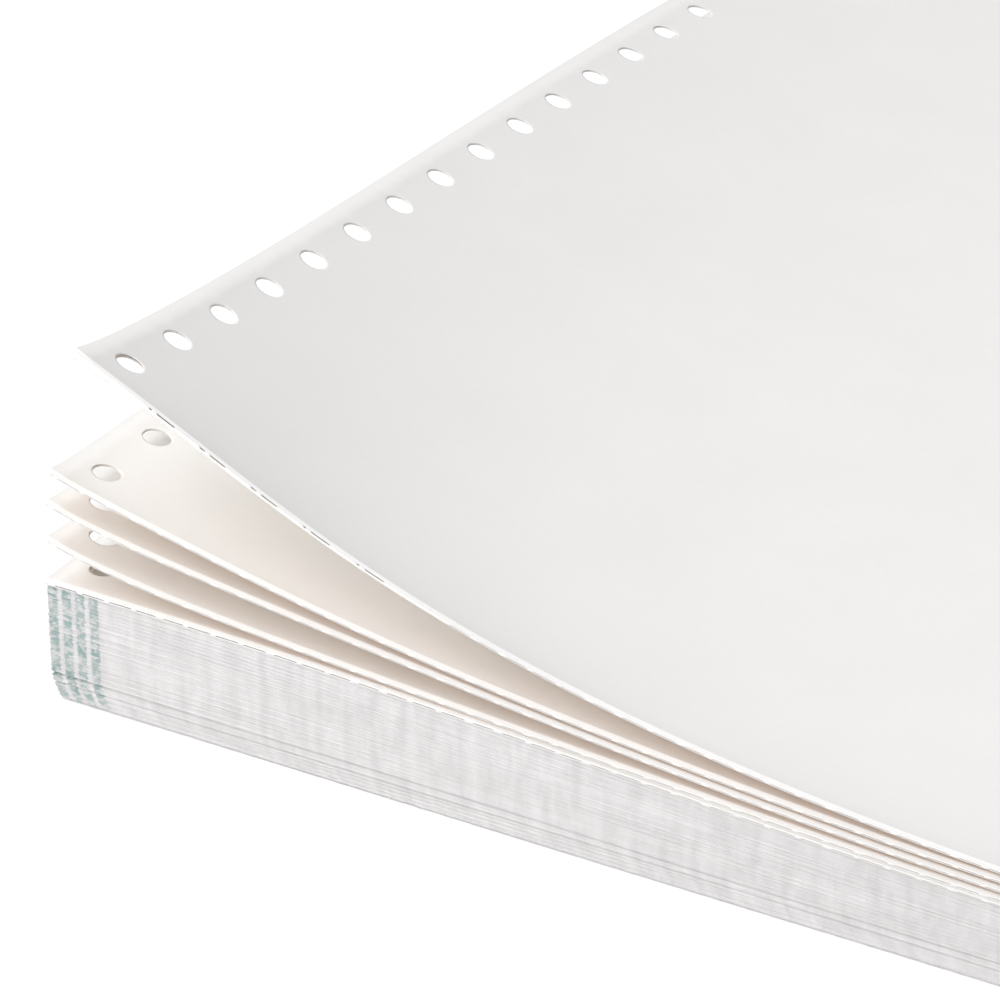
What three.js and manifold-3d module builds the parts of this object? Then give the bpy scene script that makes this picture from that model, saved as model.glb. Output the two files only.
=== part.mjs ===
// Fanfold continuous form paper: one long perforated strip, punched along both edges and folded
// back and forth into a pile, with the four uppermost folded pairs of leaves lifted and curled
// up at the front left corner.
// Millimetres. X runs along the folds, Y from the front folds to the back folds, Z up.

import * as THREE from 'three';
import { mergeVertices } from 'three/addons/utils/BufferGeometryUtils.js';
import Module from 'manifold-3d';

// The strip
const formWidth = 241.3;        // edge to edge, margins included
const foldLength = 279.4;       // from one fold to the next
const pairThickness = 0.3;      // two leaves lying on each other, with the air between them
const foldBulge = 0.7;          // height of the rounded fold of a lifted pair
const shutBulge = 0.42;         // the same fold where the pairs lie pressed shut
const foldReach = 0.7;          // from the crease back to the fold's highest place
const foldTaper = 3.5;          // how far behind that the fold's swelling runs out
const foldSpread = 25;          // how far behind the folds the stack stays loose

// Sprocket holes
const holeDiameter = 4.0;
const holePitch = 12.7;
const holeInset = 5.2;          // hole centre to the strip's edge
const holeFromFold = 6.35;      // first hole centre to the fold
const holeSides = 10;           // faces round a hole through one lifted pair
const boreSides = 8;            // and round one through the pile

// The lying pile
const pilePairs = 57;           // folded pairs of leaves, so as many folds at the front
const pilePitch = 0.2;          // height of one pair in the pressed pile
const pilePuff = 6.4;           // extra height at the front left corner
const puffWidth = 168;          // how far along the folds the extra height reaches
const puffDepth = 330;          // how far back it reaches
const foldGroove = 0.5;         // depth of the valleys between the pile's folds
const foldStagger = 0.22;       // unevenness of the folds from pair to pair
const splitHeight = 3.3;        // height of the line where the pile was once parted
const splitDepth = 1.1;         // depth of the groove along that line
const footShift = 1.5;          // how far the lowest leaves have slid along the folds
const footHeight = 4.5;         // height of the leaves that have slid

// Lift of each pair over what lies under it, at the front edge, from the lowest pair up:
// lift at the corner, the length along the fold over which it dies down, how sharply it does so,
// the slack that is left beyond, how the lift runs out towards the back folds, and how much the
// fold itself stands open at the corner
const lifts = [
  { height: 5.9, length: 22, power: 0.9, slack: 0.05, fall: 1, open: 0 },
  { height: 4.4, length: 77, power: 2.0, slack: 0.45, fall: 1, open: 0 },
  { height: 3.4, length: 38, power: 2.0, slack: 0.7, fall: 1, open: 0 },
  { height: 16.8, length: 60, power: 1.5, slack: 0.1, fall: 3.5, open: 0.65 },
];
const openLength = 16;          // how far along the fold the top pair's crease stands open
const openTaper = 9;            // and how far behind the crease its two leaves close up
const curlLead = 40;            // the top pair's curl runs slantwise: its lead along the folds
const curlDepth = 55;           // and the depth over which it takes up that lead
const shutWidth = 30;           // strip at the right where the pairs lie shut on each other
const shutDepth = 16;           // strip at the back folds where they do
const slackEnd = 60;            // over this width the slack runs out before the shut strip
const leastGap = 0.06;          // between two pairs that don't lie shut

// Fineness of the faces
const liftColumns = 10;
const liftRows = 7;
const pileColumns = 3;
const sideRows = 3;
const sideLevels = 3;

const hexPaper = 0xf1efeb;

// Where the columns and rows of faces stand: close together at the lifted corner
const columns = [];
for (let i = 0; i <= liftColumns; i++) {
  columns.push((formWidth - shutWidth) * (i / liftColumns) ** 1.5);
}
columns.push(formWidth);
const noseRows = [0, foldReach * 0.3, foldReach, foldReach * 3, foldReach * 7];
const rows = [...noseRows];
const rowStart = noseRows[noseRows.length - 1];
for (let j = 1; j <= liftRows; j++) {
  rows.push(rowStart + (foldLength - shutDepth - rowStart) * (j / liftRows) ** 1.4);
}
rows.push(foldLength);
const lastColumn = columns.length - 1;
const lastRow = rows.length - 1;

const easeOut = (t) => (t <= 0 ? 1 : t >= 1 ? 0 : Math.cos((t * Math.PI) / 2) ** 2);

// Looseness: 1 at the left, 0 at the strip where the pairs lie shut
const looseness = (x) => easeOut((x - (formWidth - shutWidth - slackEnd)) / slackEnd);

// The lifted pairs swing about their back folds, 1 at the front and 0 where they lie shut
const fan = (y, fall) => Math.max(0, 1 - (y / (foldLength - shutDepth)) ** fall);

// Swelling of a pair behind its crease, 1 at its highest
const swell = (y) => (y < foldReach
  ? Math.sin((Math.PI / 2) * (y / foldReach))
  : Math.exp(-(y - foldReach) / foldTaper));

const pileHeight = pilePairs * pilePitch;
const puff = (x, y) => pilePuff * easeOut(x / puffWidth) * easeOut(y / puffDepth);

// Height in the pile of the level with share f of the pairs under it: the upper ones are looser
const pileZ = (x, y, f) => f * pileHeight + f * f * puff(x, y);

const bulge = (x) => shutBulge + (foldBulge - shutBulge) * looseness(x);
const opening = (x, y, lift) => lift.open * Math.exp(-x / openLength - y / openTaper);

const pairHeight = (x, y, lift) => (
  pairThickness + (bulge(x) - pairThickness) * swell(y) + opening(x, y, lift));

const liesShut = (x, y) => x > formWidth - shutWidth - 0.01 || y > foldLength - shutDepth - 0.01;

function gapUnder(x, y, lift, isTop) {
  if (liesShut(x, y)) return 0;
  const lead = isTop ? curlLead * (1 - Math.exp(-y / curlDepth)) : 0;
  const curl = lift.height * Math.exp(-(((x + lead) / lift.length) ** lift.power));
  const loose = (foldBulge - pairThickness) * (Math.exp(-y / foldSpread) - swell(y));
  return Math.max(leastGap, looseness(x) * (fan(y, lift.fall) * (curl + lift.slack) + Math.max(0, loose)));
}

// Heights of every surface of the stack on the grid: the pile's top, then the under and upper
// side of each lifted pair
const heights = [columns.map((x) => rows.map((y) => (
  pileZ(x, y, 1) + (bulge(x) - pilePitch) * swell(y))))];
const gaps = [];
lifts.forEach((lift, k) => {
  const below = heights[heights.length - 1];
  const isTop = k === lifts.length - 1;
  const gap = columns.map((x) => rows.map((y) => gapUnder(x, y, lift, isTop)));
  const under = below.map((line, i) => line.map((z, j) => z + gap[i][j]));
  const upper = under.map((line, i) => line.map((z, j) => (
    z + pairHeight(columns[i], rows[j], lift))));
  gaps.push(gap);
  heights.push(under, upper);
});

// Paper bends but doesn't stretch: where a surface slopes, its far points are drawn in, so each
// cell keeps its length along the sheet
const drawnIn = (length, rise) => length - Math.sqrt(Math.max(length ** 2 - rise ** 2, 0));
const ground = heights[0];
const surfaces = heights.map((z) => {
  const rise = z.map((line, i) => line.map((value, j) => value - ground[i][j]));
  const points = columns.map((x, i) => rows.map((y, j) => new THREE.Vector3(x, y, z[i][j])));
  for (let j = 0; j <= lastRow; j++) {
    let drawn = 0;
    for (let i = lastColumn - 1; i >= 0; i--) {
      drawn += drawnIn(columns[i + 1] - columns[i], rise[i + 1][j] - rise[i][j]);
      points[i][j].x += drawn;
    }
  }
  for (let i = 0; i <= lastColumn; i++) {
    let drawn = 0;
    for (let j = lastRow - 1; j >= 0; j--) {
      const length = rows[j + 1] - rows[j];
      const climb = rise[i][j + 1] - rise[i][j];
      if (j >= 1) drawn += drawnIn(length, climb);
      points[i][j].y += drawn;
    }
  }
  return points;
});

// Where two pairs lie shut, the upper one's underside is the lower one's top
lifts.forEach((lift, k) => {
  for (let i = 0; i <= lastColumn; i++) {
    for (let j = 1; j <= lastRow; j++) {
      if (gaps[k][i][j] === 0) surfaces[2 * k + 1][i][j] = surfaces[2 * k][i][j];
    }
  }
});

const pileTop = surfaces[0];
const pairs = lifts.map((lift, k) => ({ under: surfaces[2 * k + 1], upper: surfaces[2 * k + 2] }));

// The crease of a pair lies halfway between its two leaves; so does the valley at its back
const middle = (a, b) => new THREE.Vector3().addVectors(a, b).multiplyScalar(0.5);
for (const pair of pairs) {
  pair.crease = columns.map((x, i) => {
    const point = middle(pair.under[i][1], pair.upper[i][1]);
    point.y -= rows[1];
    return point;
  });
  pair.valley = columns.map((x, i) => {
    const point = middle(pair.under[i][lastRow], pair.upper[i][lastRow]);
    point.y -= foldGroove;
    return point;
  });
}

// Faces are gathered as triangles of points and merged into one closed body at the end
const triangles = [];
function face(a, b, c) {
  if (a.equals(b) || b.equals(c) || a.equals(c)) return;
  triangles.push(a, b, c);
}

// Strip of faces between two lines of points, walked by their place along the lines
function bridge(lineA, lineB, placeA, placeB) {
  let a = 0;
  let b = 0;
  while (a < lineA.length - 1 || b < lineB.length - 1) {
    const nextA = a < lineA.length - 1 ? placeA(a + 1) : Infinity;
    const nextB = b < lineB.length - 1 ? placeB(b + 1) : Infinity;
    if (nextA <= nextB) {
      face(lineA[a], lineA[a + 1], lineB[b]);
      a += 1;
    } else {
      face(lineA[a], lineB[b + 1], lineB[b]);
      b += 1;
    }
  }
}
const byIndex = (line) => (n) => n / (line.length - 1);
const strip = (lineA, lineB, placeA = byIndex(lineA), placeB = byIndex(lineB)) => (
  bridge(lineA, lineB, placeA, placeB));

// A surface of the stack from row 1 to the back; where it lies shut on its neighbour it is left out
function sheet(points, facesUp, shut) {
  for (let i = 0; i < lastColumn; i++) {
    for (let j = 1; j < lastRow; j++) {
      const cell = [[i, j], [i + 1, j], [i, j + 1], [i + 1, j + 1]];
      for (const pick of [[0, 1, 2], [1, 3, 2]]) {
        const corners = pick.map((n) => cell[n]);
        if (shut && corners.every(([a, b]) => shut[a][b] === 0)) continue;
        const [p, q, r] = corners.map(([a, b]) => points[a][b]);
        if (facesUp) face(p, q, r);
        else face(p, r, q);
      }
    }
  }
}

const line = (points, row) => points.map((column) => column[row]);

// The lifted pairs
sheet(pileTop, true, gaps[0]);
pairs.forEach((pair, k) => {
  sheet(pair.under, false, gaps[k]);
  sheet(pair.upper, true, gaps[k + 1]);
  strip(pair.crease, line(pair.upper, 1));
  strip(line(pair.under, 1), pair.crease);
  strip(line(pair.upper, lastRow), pair.valley);
  strip(pair.valley, line(pair.under, lastRow));
  for (const side of [0, lastColumn]) {
    const upper = [pair.crease[side], ...pair.upper[side].slice(1), pair.valley[side]];
    const under = [pair.crease[side], ...pair.under[side].slice(1), pair.valley[side]];
    if (side === 0) strip(upper, under);
    else strip(under, upper);
  }
});

// The pile's folds. Level 2n is under pair n, level 2n + 1 is its crease (front) or its open
// valley (back)
const pileLevels = 2 * pilePairs;
const unevenness = (n, seed) => Math.sin(n * 2.399 + seed) * 0.6 + Math.sin(n * 0.77 + seed * 3) * 0.4;
const coarseX = [];
for (let i = 0; i <= pileColumns; i++) coarseX.push(formWidth * (i / pileColumns) ** 1.3);
const slide = (z) => footShift * Math.max(0, 1 - z / footHeight) ** 2;

function pilePoint(x, y, f) {
  const z = pileZ(x, y, f);
  return new THREE.Vector3(x + slide(z), y, z);
}
const splitLevel = 2 * Math.round(splitHeight / pilePitch);

function frontLine(level, xs) {
  const f = level / pileLevels;
  let inset;
  if (level % 2 === 1) inset = foldStagger * (0.5 + 0.5 * unevenness(level, 1));
  else inset = foldGroove + (level === splitLevel ? splitDepth - foldGroove : 0);
  return xs.map((x) => pilePoint(x, inset, f));
}
function backLine(level, xs) {
  const f = level / pileLevels;
  const inset = level % 2 === 1 ? foldGroove : foldStagger * (0.5 + 0.5 * unevenness(level, 2));
  return xs.map((x) => pilePoint(x, foldLength - inset, f));
}

const alongX = (lineOf) => (n) => lineOf[n].x;
const topCrease = columns.map((x) => (
  new THREE.Vector3(x, 0, pileZ(x, 0, 1) - pilePitch + bulge(x) / 2)));
const frontLines = [];
const backLines = [];
for (let level = 0; level < pileLevels; level++) {
  frontLines.push(level === pileLevels - 1 ? topCrease : frontLine(level, coarseX));
  backLines.push(backLine(level, coarseX));
}
frontLines.push(line(pileTop, 1));
backLines.push(line(pileTop, lastRow));
for (let level = 0; level < pileLevels; level++) {
  const [low, high] = [frontLines[level], frontLines[level + 1]];
  bridge(low, high, alongX(low), alongX(high));
  const [lowBack, highBack] = [backLines[level], backLines[level + 1]];
  bridge(highBack, lowBack, alongX(highBack), alongX(lowBack));
}

// The pile's sides: a few upright lines between the folds, and the top's own edge above them
const sideNear = rows[3];
const sideY = [sideNear];
for (let j = 1; j < sideRows; j++) sideY.push((foldLength / sideRows) * j);
sideY.push(rows[lastRow - 1]);
for (const side of [0, lastColumn]) {
  const x = columns[side];
  const upright = (y) => {
    const points = [];
    for (let n = 0; n <= sideLevels; n++) points.push(pilePoint(x, y, n / sideLevels));
    return points;
  };
  const edge = pileTop[side];
  const low = sideY.map(upright);
  const frontUpright = low[0];
  frontUpright[sideLevels] = edge[3];
  const backUpright = low[low.length - 1];
  backUpright[sideLevels] = edge[lastRow - 1];
  const frontFolds = [...frontLines.map((l) => l[side === 0 ? 0 : l.length - 1]), edge[2], edge[3]];
  const backFolds = [...backLines.map((l) => l[side === 0 ? 0 : l.length - 1]), edge[lastRow - 1]];
  const byHeight = (points) => (n) => points[n].z / points[points.length - 1].z;
  const wall = (a, b, pa, pb) => (side === 0 ? bridge(b, a, pb, pa) : bridge(a, b, pa, pb));
  wall(frontUpright, frontFolds, byHeight(frontUpright), byHeight(frontFolds));
  wall(backFolds, backUpright, byHeight(backFolds), byHeight(backUpright));
  for (let j = 0; j < low.length - 1; j++) {
    const near = low[j].slice(0, sideLevels);
    const far = low[j + 1].slice(0, sideLevels);
    wall(far, near, byIndex(far), byIndex(near));
  }
  const ledge = low.map((points) => points[sideLevels - 1]);
  const rim = edge.slice(3, lastRow);
  const byDepth = (points) => (n) => points[n].y;
  wall(ledge, rim, byDepth(ledge), byDepth(rim));
}

// The underside lies flat
const footFront = frontLines[0];
const footBack = backLines[0];
const footRows = [footFront];
for (const y of sideY) footRows.push(coarseX.map((x) => pilePoint(x, y, 0)));
footRows.push(footBack);
for (let j = 0; j < footRows.length - 1; j++) strip(footRows[j + 1], footRows[j]);

// One closed body
const wasm = await Module();
wasm.setup();

function solidOf(geometry) {
  geometry.deleteAttribute('normal');
  geometry.deleteAttribute('uv');
  const merged = mergeVertices(geometry, 1e-4);
  return new wasm.Manifold(new wasm.Mesh({
    numProp: 3,
    vertProperties: new Float32Array(merged.attributes.position.array),
    triVerts: new Uint32Array(merged.index.array),
  }));
}

const shell = new THREE.BufferGeometry().setFromPoints(triangles);
let paper = solidOf(shell);

// A place on a surface of the stack, between the points of its grid
function placeOn(points, x, y) {
  let i = 0;
  while (i < lastColumn - 1 && columns[i + 1] < x) i += 1;
  let j = 1;
  while (j < lastRow - 1 && rows[j + 1] < y) j += 1;
  const s = (x - columns[i]) / (columns[i + 1] - columns[i]);
  const t = (y - rows[j]) / (rows[j + 1] - rows[j]);
  const near = new THREE.Vector3().lerpVectors(points[i][j], points[i + 1][j], s);
  const far = new THREE.Vector3().lerpVectors(points[i][j + 1], points[i + 1][j + 1], s);
  return near.lerp(far, t);
}

// Sprocket holes: where the pairs stand apart each is punched square to its own leaves, and
// where they lie close one straight punch goes through them and the pile
const punchReach = 1.0;
const apart = 2 * punchReach + 0.6;
function punch(from, to, sides) {
  const axis = new THREE.Vector3().subVectors(to, from);
  const length = axis.length() + 2 * punchReach;
  const tool = new THREE.CylinderGeometry(holeDiameter / 2, holeDiameter / 2, length, sides);
  const turn = new THREE.Quaternion().setFromUnitVectors(new THREE.Vector3(0, 1, 0), axis.normalize());
  tool.applyQuaternion(turn);
  const centre = middle(from, to);
  tool.translate(centre.x, centre.y, centre.z);
  paper = paper.subtract(solidOf(tool));
}

function squareTo(points, x, y) {
  const step = holeDiameter / 2;
  const across = placeOn(points, x + step, y).sub(placeOn(points, x - step, y));
  const along = placeOn(points, x, y + step).sub(placeOn(points, x, y - step));
  return across.cross(along).normalize();
}

const holeCount = Math.floor((foldLength - 2 * holeFromFold) / holePitch + 1e-6) + 1;
for (const x of [holeInset, formWidth - holeInset]) {
  for (let n = 0; n < holeCount; n++) {
    const y = holeFromFold + n * holePitch;
    let bottom = placeOn(pileTop, x, y).setZ(0);
    let top = placeOn(pileTop, x, y);
    let alone = false;
    for (const pair of pairs) {
      const under = placeOn(pair.under, x, y);
      const upper = placeOn(pair.upper, x, y);
      if (under.z - top.z < apart) {
        top = new THREE.Vector3(bottom.x, bottom.y, upper.z);
      } else {
        punch(bottom, top, alone ? holeSides : boreSides);
        bottom = under;
        top = under.clone().addScaledVector(squareTo(pair.upper, x, y), pairThickness);
        alone = true;
      }
    }
    punch(bottom, top, alone ? holeSides : boreSides);
  }
}

const punched = paper.getMesh();
const geometry = new THREE.BufferGeometry();
geometry.setAttribute('position', new THREE.BufferAttribute(punched.vertProperties, 3));
geometry.setIndex(new THREE.BufferAttribute(punched.triVerts, 1));
geometry.computeVertexNormals();
geometry.computeBoundingBox();

const material = new THREE.MeshStandardMaterial({ color: hexPaper, roughness: 0.85, metalness: 0 });
const stripMesh = new THREE.Mesh(geometry, material);
stripMesh.name = 'fanfold_strip';

// The origin is the middle of the footprint's box, on the surface the pile lies on
const box = geometry.boundingBox;
stripMesh.position.set(-(box.min.x + box.max.x) / 2, -(box.min.y + box.max.y) / 2, -box.min.z);

const group = new THREE.Group();
group.add(stripMesh);
export default group;
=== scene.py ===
import math

import bpy
import numpy as np
from mathutils import Matrix, Vector


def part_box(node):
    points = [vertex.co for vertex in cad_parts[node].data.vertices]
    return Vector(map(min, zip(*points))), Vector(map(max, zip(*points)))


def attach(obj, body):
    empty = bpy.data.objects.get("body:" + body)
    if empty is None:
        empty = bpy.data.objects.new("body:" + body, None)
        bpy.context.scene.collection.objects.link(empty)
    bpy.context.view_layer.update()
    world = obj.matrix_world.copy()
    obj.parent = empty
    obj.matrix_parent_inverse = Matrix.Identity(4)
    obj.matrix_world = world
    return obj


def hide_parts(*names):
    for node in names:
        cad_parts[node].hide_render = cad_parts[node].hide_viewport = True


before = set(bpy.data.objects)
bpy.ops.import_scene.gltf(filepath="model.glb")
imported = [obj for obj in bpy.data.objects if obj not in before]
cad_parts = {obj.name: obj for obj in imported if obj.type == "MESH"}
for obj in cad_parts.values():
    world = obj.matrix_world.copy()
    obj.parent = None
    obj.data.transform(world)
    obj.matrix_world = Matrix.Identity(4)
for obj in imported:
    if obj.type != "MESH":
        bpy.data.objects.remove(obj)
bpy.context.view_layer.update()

# Sizes in millimetres, as in the part. X runs along the folds, Y to the back folds, Z up, from the
# pile's front left foot.
FORM_W, FOLD_L = 241.3, 279.4
LEAF = 0.09
PAIR_T, FOLD_BULGE, SHUT_BULGE = 0.3, 0.7, 0.42
FOLD_REACH, FOLD_TAPER, FOLD_SPREAD = 0.7, 3.5, 25.0
HOLE_R, HOLE_PITCH, HOLE_INSET, HOLE_FROM_FOLD = 2.0, 12.7, 5.2, 6.35
HOLES = 22
PILE_PAIRS, PILE_PITCH = 57, 0.2
PILE_PUFF, PUFF_W, PUFF_D = 6.4, 168.0, 330.0
FOOT_SHIFT, FOOT_H = 1.5, 4.5
SPLIT_PAIR, RIDGE_PAIR = 15, 42
TIE_PITCH, TIE_WIDTH, TORN_W = 4.2, 1.1, 60
NOSE_ROOM, NOSE_REACH, NOSE_STEP, NOSE_SIDES = 0.3, 0.22, 0.42, 7
LIFTS = [
    dict(height=5.9, length=22, power=0.9, slack=0.05, fall=1, open=0),
    dict(height=4.4, length=77, power=2.0, slack=0.45, fall=1, open=0),
    dict(height=3.4, length=38, power=2.0, slack=0.7, fall=1, open=0),
    dict(height=16.8, length=60, power=1.5, slack=0.1, fall=3.5, open=0.65),
]
OPEN_L, OPEN_TAPER, CURL_LEAD, CURL_D = 16.0, 9.0, 40.0, 55.0
SHUT_W, SHUT_D, SLACK_END, LEAST_GAP, SHUT_GAP = 30.0, 16.0, 60.0, 0.06, 0.02
WAVE, WAVE_X, WAVE_Y, WAVE_IN, WAVE_GAP = 0.10, 31, 43, 12, 0.4
H0 = PILE_PAIRS * PILE_PITCH
MM = 0.001
UV_SCALE = 0.01
ORIGIN = Vector(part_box("fanfold_strip")[0])


# The camera stands where the photograph was taken from.
AZ, EL, DIST, PX_PER_MM = math.radians(28.2), math.radians(31.0), 650.0, 7.43
CORNER_PX = (51.0, 695.0)
PICTURE_PX, SENSOR = 1000, 36
right = Vector((math.cos(AZ), math.sin(AZ), 0))
up = Vector((-math.sin(AZ) * math.sin(EL), math.cos(AZ) * math.sin(EL), math.cos(EL)))
back = right.cross(up)
du = (CORNER_PX[0] - PICTURE_PX / 2) / PX_PER_MM
dv = (PICTURE_PX / 2 - CORNER_PX[1]) / PX_PER_MM
cam_pos = back * DIST - right * du - up * dv
camera_data = bpy.data.cameras.new("camera")
camera = bpy.data.objects.new("camera", camera_data)
bpy.context.collection.objects.link(camera)
camera_data.sensor_width = SENSOR
camera_data.lens = PX_PER_MM * DIST * SENSOR / PICTURE_PX
camera_data.clip_start = 0.05
camera_data.clip_end = 20
turn = Matrix((right, up, back)).transposed().to_4x4()
camera.matrix_world = Matrix.Translation(ORIGIN + cam_pos * MM) @ turn
bpy.context.scene.camera = camera


# The shape of the sheets, as height over the flat sheet
def ease_out(t):
    """From 1 at t = 0 to 0 at t = 1, level at both ends."""
    return np.cos(np.clip(t, 0, 1) * math.pi / 2) ** 2


def looseness(x):
    """1 where the pairs lie loose, 0 in the strip at the right where they are pressed shut."""
    return ease_out((x - (FORM_W - SHUT_W - SLACK_END)) / SLACK_END)


def fan(y, fall):
    """How a lift fades from the front folds to the back folds."""
    return np.maximum(0, 1 - (y / (FOLD_L - SHUT_D)) ** fall)


def swell(y):
    """The rounded front fold, full just behind its tip."""
    return np.where(y < FOLD_REACH, np.sin(np.clip(y / FOLD_REACH, 0, 1) * math.pi / 2),
                    np.exp(-(y - FOLD_REACH) / FOLD_TAPER))


def puff(x, y):
    """Air between the lying pairs, most at the front left corner."""
    return PILE_PUFF * ease_out(x / PUFF_W) * ease_out(y / PUFF_D)


def pile_z(x, y, f):
    """Height in the lying pile, f of the way up."""
    return f * H0 + f * f * puff(x, y)


def bulge(x):
    return SHUT_BULGE + (FOLD_BULGE - SHUT_BULGE) * looseness(x)


def gap_under(x, y, lift, is_top):
    """The gap between a lifted pair and the pair under it."""
    lead = CURL_LEAD * (1 - np.exp(-y / CURL_D)) if is_top else 0 * y
    curl = lift["height"] * np.exp(-((x + lead) / lift["length"]) ** lift["power"])
    loose = (FOLD_BULGE - PAIR_T) * (np.exp(-y / FOLD_SPREAD) - swell(y))
    gap = looseness(x) * (fan(y, lift["fall"]) * (curl + lift["slack"]) + np.maximum(0, loose))
    gap = np.maximum(LEAST_GAP, gap)
    shut = (x > FORM_W - SHUT_W - 0.01) | (y > FOLD_L - SHUT_D - 0.01)
    return np.where(shut, SHUT_GAP, gap)


GU = np.unique(np.concatenate([np.arange(0, FORM_W, 1.6), [FORM_W]]))
NEAR = np.array([0, 0.06, 0.14, 0.25, 0.4, 0.55, 0.7, 0.95, 1.3, 1.8, 2.4])
GV = np.concatenate([NEAR, np.linspace(HOLE_PITCH / 4, FOLD_L, 4 * HOLES)])
XX, YY = np.meshgrid(GU, GV, indexing="ij")


def sheet_wave(k):
    """A slight waviness of lifted pair k that fades at the folds and the shut strips."""
    ripple = np.sin(XX / WAVE_X + 1.7 * k) * np.sin(YY / WAVE_Y + 2.1 * k)
    return WAVE * ripple * looseness(XX) * fan(YY, 1) * (1 - np.exp(-YY / WAVE_IN))


# The lower and the upper surface of the lying pair and of each lifted pair, from the pile up
heights = [pile_z(XX, YY, 1 - 1 / PILE_PAIRS)]
heights.append(pile_z(XX, YY, 1) + (bulge(XX) - PILE_PITCH) * swell(YY))
for k, lift in enumerate(LIFTS):
    gap = gap_under(XX, YY, lift, k == len(LIFTS) - 1)
    under = heights[-1] + np.maximum(SHUT_GAP, gap + sheet_wave(k) * (gap > WAVE_GAP))
    upper = (under + PAIR_T + (bulge(XX) - PAIR_T) * swell(YY)
             + lift["open"] * np.exp(-XX / OPEN_L - YY / OPEN_TAPER))
    heights += [under, upper]


def draw_in(z):
    """Positions of a surface whose cells keep their length along the sheet."""
    rise = z - heights[1]
    step = np.diff(GU)[:, None]
    pull = step - np.sqrt(np.maximum(step ** 2 - np.diff(rise, axis=0) ** 2, 0))
    x = XX.copy()
    x[:-1] += np.cumsum(pull[::-1], axis=0)[::-1]
    step = np.diff(GV)[None, :]
    pull = step - np.sqrt(np.maximum(step ** 2 - np.diff(rise, axis=1) ** 2, 0))
    pull[:, GV[:-1] < FOLD_REACH] = 0
    y = YY.copy()
    y[:, :-1] += np.cumsum(pull[:, ::-1], axis=1)[:, ::-1]
    return np.stack([x, y, z], axis=-1)


SURFACES = [draw_in(z) for z in heights]


def place(surface, uv):
    """Points of a surface at flat places uv (n, 2), between the points of its grid."""
    i = np.clip(np.searchsorted(GU, uv[:, 0], side="right") - 1, 0, len(GU) - 2)
    j = np.clip(np.searchsorted(GV, uv[:, 1], side="right") - 1, 0, len(GV) - 2)
    s = ((uv[:, 0] - GU[i]) / (GU[i + 1] - GU[i]))[:, None]
    t = ((uv[:, 1] - GV[j]) / (GV[j + 1] - GV[j]))[:, None]
    return ((surface[i, j] * (1 - s) + surface[i + 1, j] * s) * (1 - t)
            + (surface[i, j + 1] * (1 - s) + surface[i + 1, j + 1] * s) * t)


# One flat leaf with its holes, as points and faces
def flat_leaf():
    """A grid with a ring of finer faces about each sprocket hole, in sheet millimetres."""
    margin = 2 * HOLE_INSET
    quarter = HOLE_PITCH / 4
    rows = np.concatenate([NEAR, np.arange(1, 4 * HOLES + 1) * quarter])
    first = len(NEAR)
    inner = np.linspace(margin, FORM_W - margin, 71)
    left = np.linspace(0, margin, 5)
    right_margin = FORM_W - margin + left
    columns = np.concatenate([left, inner[1:-1], right_margin])
    points, index, faces = [], {}, []

    def point(u, v):
        key = (round(u * 1e4), round(v * 1e4))
        if key not in index:
            index[key] = len(points)
            points.append((u, v))
        return index[key]

    grid = [[point(u, v) for v in rows] for u in columns]
    last = len(columns) - 1
    for i in range(last):
        in_margin = i < 4 or i >= last - 4
        for j in range(len(rows) - 1):
            cell = (j - first) % 4
            if in_margin and j >= first and cell in (0, 1):
                continue
            faces.append((grid[i][j], grid[i + 1][j], grid[i + 1][j + 1], grid[i][j + 1]))
    for start in (0, last - 4):
        centre_u = (columns[start] + columns[start + 4]) / 2
        for n in range(HOLES):
            j = first + 4 * n
            loop = ([grid[start + a][j] for a in range(4)]
                    + [grid[start + 4][j + a] for a in range(2)]
                    + [grid[start + 4 - a][j + 2] for a in range(4)]
                    + [grid[start][j + 2 - a] for a in range(2)])
            centre = np.array([centre_u, HOLE_FROM_FOLD + n * HOLE_PITCH])
            ring, angles = [], []
            for k, here in enumerate(loop):
                a, b = points[here], points[loop[(k + 1) % 12]]
                for s in (0, 1 / 3, 2 / 3):
                    p = np.array([a[0] + (b[0] - a[0]) * s, a[1] + (b[1] - a[1]) * s]) - centre
                    angles.append(math.atan2(p[1], p[0]))
            rings = []
            for radius in (HOLE_R, HOLE_R + 0.25, HOLE_R + 0.7):
                rings.append([point(centre[0] + radius * math.cos(t),
                                    centre[1] + radius * math.sin(t)) for t in angles])
            for r in (0, 1):
                for k in range(36):
                    m = (k + 1) % 36
                    faces.append((rings[r][k], rings[r + 1][k], rings[r + 1][m], rings[r][m]))
            outer = rings[2]
            for k in range(12):
                a, b = loop[k], loop[(k + 1) % 12]
                o = [outer[(3 * k + q) % 36] for q in range(4)]
                faces.append((o[0], a, o[1]))
                faces.append((o[1], a, b, o[2]))
                faces.append((o[2], b, o[3]))
    return np.array(points), faces


FLAT, FLAT_FACES = flat_leaf()


def new_piece(name, points, faces, material, uv):
    """A piece of paper from points in millimetres; uv are its places on the sheet."""
    mesh = bpy.data.meshes.new(name)
    place_mm = np.asarray(points) * MM + np.array(ORIGIN)
    mesh.from_pydata(place_mm.tolist(), [], faces)
    layer = mesh.uv_layers.new(name="sheet")
    corners = np.empty(len(mesh.loops), dtype=np.int32)
    mesh.loops.foreach_get("vertex_index", corners)
    layer.data.foreach_set("uv", (np.asarray(uv)[corners]).astype(np.float32).ravel())
    mesh.polygons.foreach_set("use_smooth", [True] * len(mesh.polygons))
    mesh.materials.append(material)
    piece = bpy.data.objects.new(name, mesh)
    bpy.context.collection.objects.link(piece)
    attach(piece, "root")
    return piece


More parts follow.
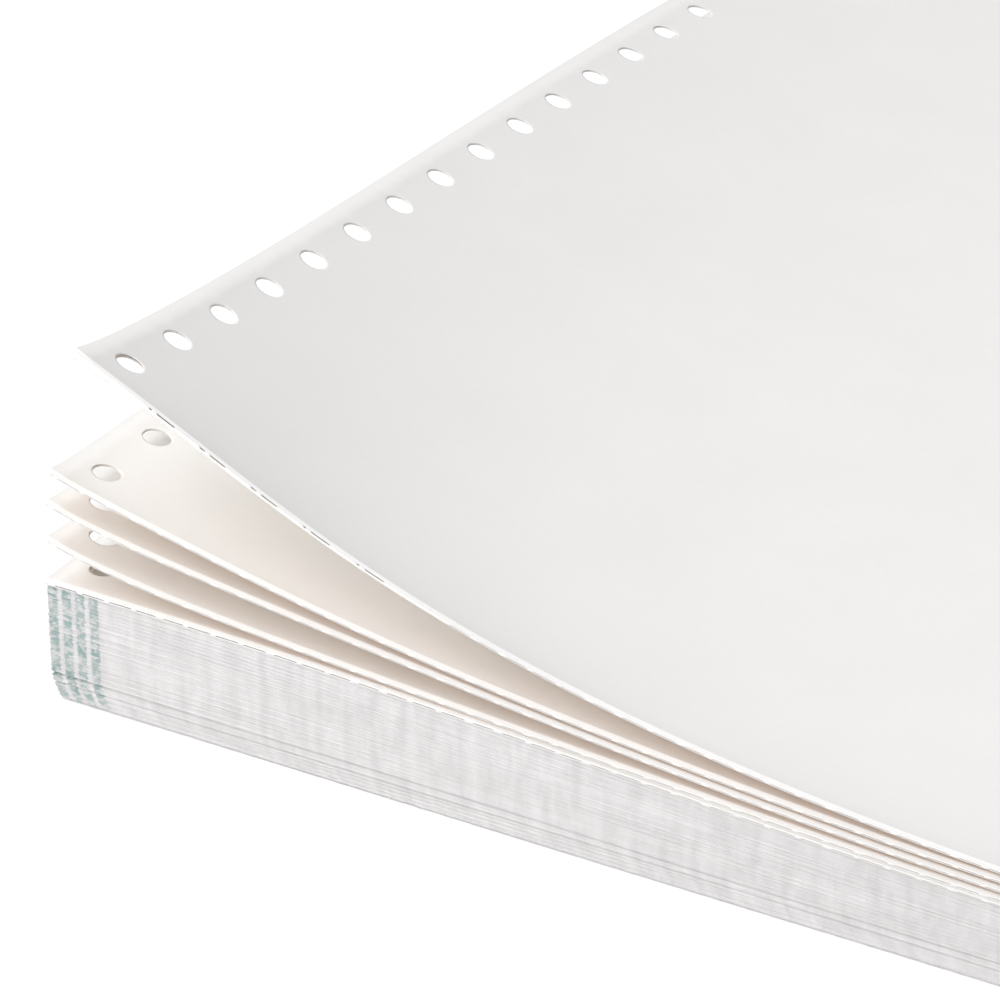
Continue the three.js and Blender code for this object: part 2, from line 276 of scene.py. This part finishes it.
def thicken(piece, thickness):
    """Gives a sheet its real thickness, about its middle surface."""
    solid = piece.modifiers.new("thickness", "SOLIDIFY")
    solid.thickness = thickness * MM
    solid.offset = 0
    graph = bpy.context.evaluated_depsgraph_get()
    mesh = bpy.data.meshes.new_from_object(piece.evaluated_get(graph))
    piece.modifiers.clear()
    old = piece.data
    piece.data = mesh
    bpy.data.meshes.remove(old)


def leaf_points(under, upper, is_upper, flat):
    """Points of one of a pair's two leaves, just inside the pair's own surfaces."""
    inside = flat.copy()
    inside[:, 1] = NOSE_ROOM + flat[:, 1] * (FOLD_L - 2 * NOSE_ROOM) / FOLD_L
    low, high = place(under, inside), place(upper, inside)
    tall = np.maximum(high[:, 2] - low[:, 2], 1e-6)
    share = np.minimum((LEAF / 2 + 0.005) / tall, 0.45)[:, None]
    if is_upper:
        share = 1 - share
    return low * (1 - share) + high * share


NOSE_U = np.unique(np.round(np.concatenate([np.arange(0, FORM_W, NOSE_STEP), [FORM_W]]), 4))


def is_tie(u, seed):
    """Where the perforated fold still holds, along the fold."""
    n = np.floor(u / TIE_PITCH)
    start = n * TIE_PITCH + 0.5 + 0.25 * np.sin(n * 7.1 + seed * 2.3)
    return (u > start) & (u < start + TIE_WIDTH)


def fold_pair(name, under, upper, material, following, seed, torn_crease):
    """Two leaves, the perforated front fold that joins them, and the back fold to the next pair."""
    count = len(FLAT)
    points = [leaf_points(under, upper, False, FLAT), leaf_points(under, upper, True, FLAT)]
    uv = [np.column_stack([FLAT[:, 0], -FLAT[:, 1]]), FLAT.copy()]
    faces = [tuple(reversed(f)) for f in FLAT_FACES] + [tuple(i + count for i in f)
                                                        for f in FLAT_FACES]
    total = 2 * count

    def crease(starts, ends, outward, v0):
        """A rounded fold from one leaf's edge to the other's; the front one has slits."""
        nonlocal total
        lines = []
        middle, half = (starts + ends) / 2, (starts - ends) / 2
        reach = np.minimum(np.linalg.norm(half, axis=1), NOSE_REACH)[:, None]
        push = np.zeros_like(middle)
        push[:, 1] = outward
        for n in range(NOSE_SIDES + 1):
            t = math.pi * n / NOSE_SIDES
            points.append(middle + half * math.cos(t) + push * reach * math.sin(t))
            side = v0 if v0 else (0.05 if n > 1 else -0.05)
            uv.append(np.column_stack([NOSE_U, np.full(len(NOSE_U), side)]))
            lines.append(np.arange(total, total + len(NOSE_U)))
            total += len(NOSE_U)
        between = (NOSE_U[:-1] + NOSE_U[1:]) / 2
        tie = is_tie(between, seed)
        torn = np.sin(np.floor(between / TIE_PITCH) * 2.9) > 0.4
        for n, (a, b) in enumerate(zip(lines, lines[1:])):
            for i in range(len(NOSE_U) - 1):
                cut = 3
                if torn_crease and outward < 0 and between[i] < TORN_W:
                    cut = 5 if torn[i] else None
                if tie[i] or n != cut:
                    quad = (int(a[i]), int(a[i + 1]), int(b[i + 1]), int(b[i]))
                    faces.append(quad if outward < 0 else quad[::-1])

    front = np.column_stack([NOSE_U, np.zeros(len(NOSE_U))])
    rear = np.column_stack([NOSE_U, np.full(len(NOSE_U), FOLD_L)])
    crease(leaf_points(under, upper, False, front), leaf_points(under, upper, True, front),
           -1, 0.0)
    if following is not None:
        crease(leaf_points(under, upper, True, rear), leaf_points(*following, False, rear),
               1, FOLD_L)
    piece = new_piece(name, np.concatenate(points), faces, material,
                      np.concatenate(uv) * UV_SCALE)
    thicken(piece, LEAF)


# Materials
class Nodes:
    """A small helper that adds nodes to one material and joins their sockets."""

    def __init__(self, name):
        self.material = bpy.data.materials.new(name)
        self.material.use_nodes = True
        self.tree = self.material.node_tree
        self.shader = self.tree.nodes["Principled BSDF"]

    def add(self, kind, **inputs):
        node = self.tree.nodes.new("ShaderNode" + kind)
        for key, value in inputs.items():
            self.put(node.inputs[key.replace("_", " ")], value)
        return node

    def put(self, socket, value):
        if isinstance(value, bpy.types.NodeSocket):
            self.tree.links.new(value, socket)
        else:
            socket.default_value = value

    def math(self, operation, *values, clamp=False):
        node = self.tree.nodes.new("ShaderNodeMath")
        node.operation, node.use_clamp = operation, clamp
        for socket, value in zip(node.inputs, values):
            self.put(socket, value)
        return node.outputs[0]

    def noise(self, vector, scale, detail=3.0, stretch=(1, 1, 1)):
        mapping = self.add("Mapping", Vector=vector)
        mapping.inputs["Scale"].default_value = stretch
        node = self.add("TexNoise", Vector=mapping.outputs[0], Scale=scale, Detail=detail)
        return node.outputs["Fac"]

    def blend(self, factor, low, high):
        node = self.tree.nodes.new("ShaderNodeMix")
        node.data_type = "RGBA"
        self.put(node.inputs[0], factor)
        self.put(node.inputs[6], low if isinstance(low, bpy.types.NodeSocket) else (*low, 1))
        self.put(node.inputs[7], high if isinstance(high, bpy.types.NodeSocket) else (*high, 1))
        return node.outputs[2]

    def ramp(self, value, low, high, out_low=0.0, out_high=1.0):
        node = self.add("MapRange", Value=value)
        node.inputs["From Min"].default_value = low
        node.inputs["From Max"].default_value = high
        node.inputs["To Min"].default_value = out_low
        node.inputs["To Max"].default_value = out_high
        return node.outputs[0]


PAPER = (0.900, 0.889, 0.868)
# Painted shade: the colour of each pair's lower leaf, darker and warmer than the paper, for the
# shade under each pair.
UNDERSIDE_PAINTED_SHADE = (0.905, 0.886, 0.858)
# Painted shade: the brown in the narrow gaps just behind each front fold.
CREASE_PAINTED_SHADE = (0.84, 0.66, 0.52)
MARK = (0.20, 0.345, 0.325)
FAINT_MARK = (0.27, 0.29, 0.285)
# Painted shade: the pile's front is set darker than the flat paper and than its other sides.
FRONT_PAINTED_SHADE_DARK, FRONT_PAINTED_SHADE_PALE = (0.685, 0.668, 0.666), (0.795, 0.780, 0.775)
# Painted light: the pile's other sides are set paler than its front, to lift them out of their
# shade.
SIDES_PAINTED_LIGHT_DARK, SIDES_PAINTED_LIGHT_PALE = (0.790, 0.775, 0.772), (0.880, 0.868, 0.860)
MARK_PITCH, MARKS_W = 2.12, 8.44


def finish_paper(n, colour, fibre, soft, distance):
    """Colour, roughness and relief that every paper surface shares."""
    n.put(n.shader.inputs["Base Color"], colour)
    n.put(n.shader.inputs["Roughness"], n.ramp(fibre, 0.3, 0.7, 0.80, 0.95))
    n.shader.inputs["Specular IOR Level"].default_value = 0.25
    height = n.math("MULTIPLY_ADD", fibre, 0.6, n.math("MULTIPLY", soft, 0.4))
    bump = n.add("Bump", Strength=0.35, Distance=distance, Height=height)
    n.put(n.shader.inputs["Normal"], bump.outputs[0])
    return n.material


def margin_marks(n, u, across, width):
    """Four short marks side by side in the left margin, broken up along the other way."""
    step = n.math("FRACT", n.math("MULTIPLY_ADD", u, 1 / MARK_PITCH, 0.02))
    column = n.ramp(n.math("ABSOLUTE", n.math("SUBTRACT", step, 0.42)), width, width - 0.1)
    inside = n.math("LESS_THAN", u, MARKS_W)
    return n.math("MULTIPLY", n.math("MULTIPLY", column, inside), across, clamp=True)


def leaf_paper():
    """White paper; the lower leaf of each pair carries painted shade, darker and warmer, with
    browner painted shade near the front folds.
    """
    n = Nodes("paper_leaf")
    coords = n.add("TexCoord")
    sheet = n.add("SeparateXYZ", Vector=coords.outputs["UV"])
    u = n.math("MULTIPLY", sheet.outputs[0], 1 / UV_SCALE)
    v = n.math("MULTIPLY", sheet.outputs[1], 1 / UV_SCALE)
    cloud = n.noise(coords.outputs["Object"], 60, 4)
    fibre = n.noise(coords.outputs["Object"], 2200, 3, (1, 0.6, 1))
    tone = n.math("MULTIPLY_ADD", cloud, 0.55, n.math("MULTIPLY", fibre, 0.45))
    colour = n.blend(n.ramp(tone, 0.35, 0.65), tuple(c * 0.972 for c in PAPER), PAPER)
    # Painted shade on the lower leaf of each pair, whose underside faces down into the gaps.
    under = n.blend(n.ramp(tone, 0.35, 0.65), tuple(c * 0.97 for c in UNDERSIDE_PAINTED_SHADE), UNDERSIDE_PAINTED_SHADE)
    # Painted shade: browner towards the front fold, from 9 mm to 1.5 mm behind it.
    under = n.blend(n.ramp(v, -9.0, -1.5, 0.0, 1.0), under, CREASE_PAINTED_SHADE)
    colour = n.blend(n.math("LESS_THAN", v, -0.16), colour, under)
    at_fold = n.math("COMPARE", v, -0.10, 0.09)
    broken = n.ramp(n.noise(coords.outputs["Object"], 900, 2), 0.35, 0.5)
    marks = margin_marks(n, u, n.math("MULTIPLY", at_fold, broken), 0.46)
    colour = n.blend(n.math("MULTIPLY", marks, 0.8), colour, FAINT_MARK)
    return finish_paper(n, colour, fibre, cloud, 0.00005)


def pile_paper():
    """The pile's walls: streaked folds in front with the margin marks, darkened as painted shade;
    the other sides paler, as painted light.
    """
    n = Nodes("paper_folds")
    coords = n.add("TexCoord")
    wall = n.add("SeparateXYZ", Vector=coords.outputs["UV"])
    u = n.math("MULTIPLY", wall.outputs[0], 1 / UV_SCALE)
    fibre = n.noise(coords.outputs["Object"], 2200, 3)
    streak = n.noise(coords.outputs["UV"], 1.0, 3, (6, 90, 1))
    band = n.noise(coords.outputs["UV"], 1.0, 2, (55, 3, 1))
    near = n.math("ABSOLUTE", n.math("SUBTRACT", n.math("FRACT", n.math(
        "DIVIDE", n.math("MULTIPLY_ADD", streak, 0.8, u), TIE_PITCH)), 0.5))
    ties = n.ramp(near, 0.30, 0.5)
    tone = n.math("ADD", n.math("MULTIPLY_ADD", streak, 0.5, n.math("MULTIPLY", band, 0.5)),
                  n.math("MULTIPLY", ties, -0.07))
    is_front = n.math("GREATER_THAN", wall.outputs[0], -0.001)
    is_front = n.math("MULTIPLY", is_front, n.math("LESS_THAN", wall.outputs[0],
                                                   (FORM_W + 0.5) * UV_SCALE))
    pale = n.ramp(tone, 0.36, 0.62)
    front = n.blend(pale, FRONT_PAINTED_SHADE_DARK, FRONT_PAINTED_SHADE_PALE)
    sides_painted_light = n.blend(pale, SIDES_PAINTED_LIGHT_DARK, SIDES_PAINTED_LIGHT_PALE)
    # The front gets the darker painted-shade range, the other sides the paler painted-light range.
    colour = n.blend(is_front, sides_painted_light, front)
    dashes = n.ramp(n.noise(coords.outputs["Object"], 1250, 2, (0.8, 0.8, 1.5)),
                    0.42, 0.56, 0.25, 1)
    waist = n.ramp(n.noise(coords.outputs["UV"], 1.0, 1, (6, 5, 1)), 0.3, 0.6, 0.5, 1)
    marks = margin_marks(n, u, n.math("MULTIPLY", n.math("MULTIPLY", dashes, waist), is_front),
                         0.38)
    colour = n.blend(n.math("MULTIPLY", marks, 0.78), colour, MARK)
    return finish_paper(n, colour, fibre, streak, 0.00006)


leaf_material = leaf_paper()
edge_material = pile_paper()


# The lying pile under its top pair
def uneven(n, seed):
    """A repeatable unevenness from fold to fold."""
    return np.sin(n * 2.399 + seed) * 0.6 + np.sin(n * 0.77 + seed * 3) * 0.4


def foot_slide(z):
    """The lowest leaves have slid a little to the right."""
    return FOOT_SHIFT * np.maximum(0, 1 - z / FOOT_H) ** 2


def pile_walls():
    """The four sides of the pile: a ridge for every fold in front and behind, and leaf edges."""
    pairs, steps = PILE_PAIRS - 1, 4
    level = np.arange(pairs * steps + 1)
    f = level / (PILE_PAIRS * steps)
    phase, number = level % steps, level // steps
    loose = np.where(number == SPLIT_PAIR, 0.9, 0.0) + np.where(number == SPLIT_PAIR - 5, 0.3, 0)
    ridge = 0.16 * (0.5 + 0.5 * uneven(number, 1.0)) + np.where(number > RIDGE_PAIR, 0.04, 0.0)
    ridge = np.where(number == RIDGE_PAIR, 0.0, ridge) + np.where(number == RIDGE_PAIR + 9, 0.14, 0)
    front_in = np.choose(phase, [0.13, 0.03, 0.0, 0.03]) + ridge + loose
    back_in = np.choose(phase, [0.0, 0.06, 0.3, 0.06]) + 0.1 + 0.1 * uneven(number, 2.0)
    side_in = np.choose(phase % 2, [0.15, 0.0]) + 0.06 + 0.06 * uneven(level // 2, 4.0)
    xs, ys = np.linspace(0, FORM_W, 131), np.linspace(0, FOLD_L, 61)
    rings, flat = [], []
    for n in level:
        sway = 0.07 * np.sin(xs / (17 + 7 * math.sin(number[n] * 1.9)) + number[n] * 2.1)
        sway = sway * (phase[n] != 0) + 0.03 * np.sin(xs * 1.9 + number[n] * 4.4)
        tug = 0.05 * np.sin(ys / (19 + 6 * math.sin(n * 1.3)) + n * 2.7)
        right_x = np.full(len(ys), FORM_W - side_in[n]) - np.abs(tug)
        left_x = np.full(len(ys), side_in[n]) + np.abs(tug)
        front_y = np.maximum(0.0, front_in[n] + 0.1 + sway)
        rear_y = FOLD_L - np.maximum(0.0, back_in[n] + 0.1 + sway)
        front = np.column_stack([left_x[0] + xs * (right_x[0] - left_x[0]) / FORM_W, front_y])
        rear = np.column_stack([left_x[-1] + xs * (right_x[-1] - left_x[-1]) / FORM_W, rear_y])
        side_y = ys[1:-1]
        ring = np.concatenate([front, np.column_stack([right_x[1:-1], side_y]), rear[::-1],
                               np.column_stack([left_x[1:-1], side_y])[::-1]])
        z = pile_z(ring[:, 0], ring[:, 1], f[n])
        rings.append(np.column_stack([ring[:, 0] + foot_slide(z), ring[:, 1], z]))
        along = np.concatenate([xs, FORM_W + side_y, -300 - xs[::-1], -20 - side_y[::-1]])
        flat.append(np.column_stack([along * UV_SCALE, np.full(len(along), f[n])]))
    size = len(rings[0])
    ids = np.arange(size)
    after = (ids + 1) % size
    faces = []
    for n in level[:-1]:
        a, b = n * size, (n + 1) * size
        faces += np.column_stack([a + ids, a + after, b + after, b + ids]).tolist()
    return new_piece("pile_folds", np.concatenate(rings), faces, edge_material,
                     np.concatenate(flat))


def pile_faces():
    """The pile's lowest leaf, the leaf under its top pair, and the bores through every leaf."""
    keep = FLAT.copy()
    keep[:, 0] = 0.3 + keep[:, 0] * (FORM_W - 0.6) / FORM_W
    keep[:, 1] = 0.45 + keep[:, 1] * (FOLD_L - 0.9) / FOLD_L
    points, faces, flat, total = [], [], [], 0
    for share, down in ((0.0, True), (1 - 1 / PILE_PAIRS, False)):
        z = pile_z(keep[:, 0], keep[:, 1], share) + (0.001 if down else -0.03)
        points.append(np.column_stack([keep[:, 0] + foot_slide(z), keep[:, 1], z]))
        flat.append(FLAT)
        faces += [tuple(total + i for i in (f[::-1] if down else f)) for f in FLAT_FACES]
        total += len(keep)
    sides, levels = 36, 9
    t = np.arange(sides) * 2 * math.pi / sides
    for u0 in (HOLE_INSET, FORM_W - HOLE_INSET):
        for k in range(HOLES):
            v0 = HOLE_FROM_FOLD + k * HOLE_PITCH
            ring = np.column_stack([u0 + HOLE_R * np.cos(t), v0 + HOLE_R * np.sin(t)])
            for n in range(levels):
                share = (1 - 1 / PILE_PAIRS) * n / (levels - 1)
                z = pile_z(ring[:, 0], ring[:, 1], share)
                points.append(np.column_stack([ring[:, 0] + foot_slide(z), ring[:, 1], z]))
                flat.append(ring)
                if n:
                    a, b = total - sides, total
                    faces += [(a + (i + 1) % sides, a + i, b + i, b + (i + 1) % sides)
                              for i in range(sides)]
                total += sides
    new_piece("pile_faces", np.concatenate(points), faces, leaf_material,
                     np.concatenate(flat) * UV_SCALE)


walls = pile_walls()
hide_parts("fanfold_strip")
pile_faces()

names = ["lying_pair", "lifted_pair_1", "lifted_pair_2", "lifted_pair_3", "curled_pair"]
for k, name in enumerate(names):
    following = SURFACES[2 * k + 2:2 * k + 4] if k < len(LIFTS) else None
    fold_pair(name, SURFACES[2 * k], SURFACES[2 * k + 1], leaf_material, following, k,
              name == "curled_pair")


# Floor, backdrop and light
def floor():
    """A plain floor that the camera sees white, with the object's shadow on it."""
    mesh = bpy.data.meshes.new("floor")
    size, drop = 4.0, -0.0002
    mesh.from_pydata([(-size, -size, drop), (size, -size, drop), (size, size, drop),
                      (-size, size, drop)], [], [(0, 1, 2, 3)])
    plane = bpy.data.objects.new("floor", mesh)
    bpy.context.collection.objects.link(plane)
    n = Nodes("floor")
    rays = n.add("LightPath")
    seen = n.math("MAXIMUM", rays.outputs["Is Camera Ray"],
                  n.math("MAXIMUM", rays.outputs["Is Glossy Ray"],
                         rays.outputs["Is Transmission Ray"]))
    n.put(n.shader.inputs["Base Color"], n.blend(seen, (0.86, 0.86, 0.86), (1.0, 1.0, 1.0)))
    n.shader.inputs["Roughness"].default_value = 0.95
    n.shader.inputs["Specular IOR Level"].default_value = 0.1
    n.shader.inputs["Emission Color"].default_value = (1, 1, 1, 1)
    n.put(n.shader.inputs["Emission Strength"], n.math("MULTIPLY", seen, 0.06))
    mesh.materials.append(n.material)


floor()
world = bpy.data.worlds.new("world")
bpy.context.scene.world = world
world.use_nodes = True
background = world.node_tree.nodes["Background"]
background.inputs["Color"].default_value = (0.99, 0.99, 1.02, 1)
background.inputs["Strength"].default_value = 0.43


def lamp(name, azimuth, elevation, size, power, distance=1.6):
    """A round soft lamp aimed at the object; azimuth 0 is in front, 90 at the right."""
    data = bpy.data.lights.new(name, "AREA")
    data.shape = "DISK"
    data.size = size
    data.energy = power
    obj = bpy.data.objects.new(name, data)
    bpy.context.collection.objects.link(obj)
    a, e = math.radians(azimuth), math.radians(elevation)
    way = Vector((math.sin(a) * math.cos(e), -math.cos(a) * math.cos(e), math.sin(e)))
    obj.location = Vector((0, 0, 0.02)) + way * distance
    obj.rotation_mode = "QUATERNION"
    obj.rotation_quaternion = way.to_track_quat("Z", "Y")


lamp("key", azimuth=-60, elevation=52, size=1.3, power=13.9)
lamp("front_fill", azimuth=-10, elevation=28, size=0.9, power=8.7)
lamp("rear_fill", azimuth=150, elevation=28, size=1.2, power=3.2)

bpy.context.scene.view_settings.view_transform = "Standard"
bpy.context.scene.cycles.diffuse_bounces = 12
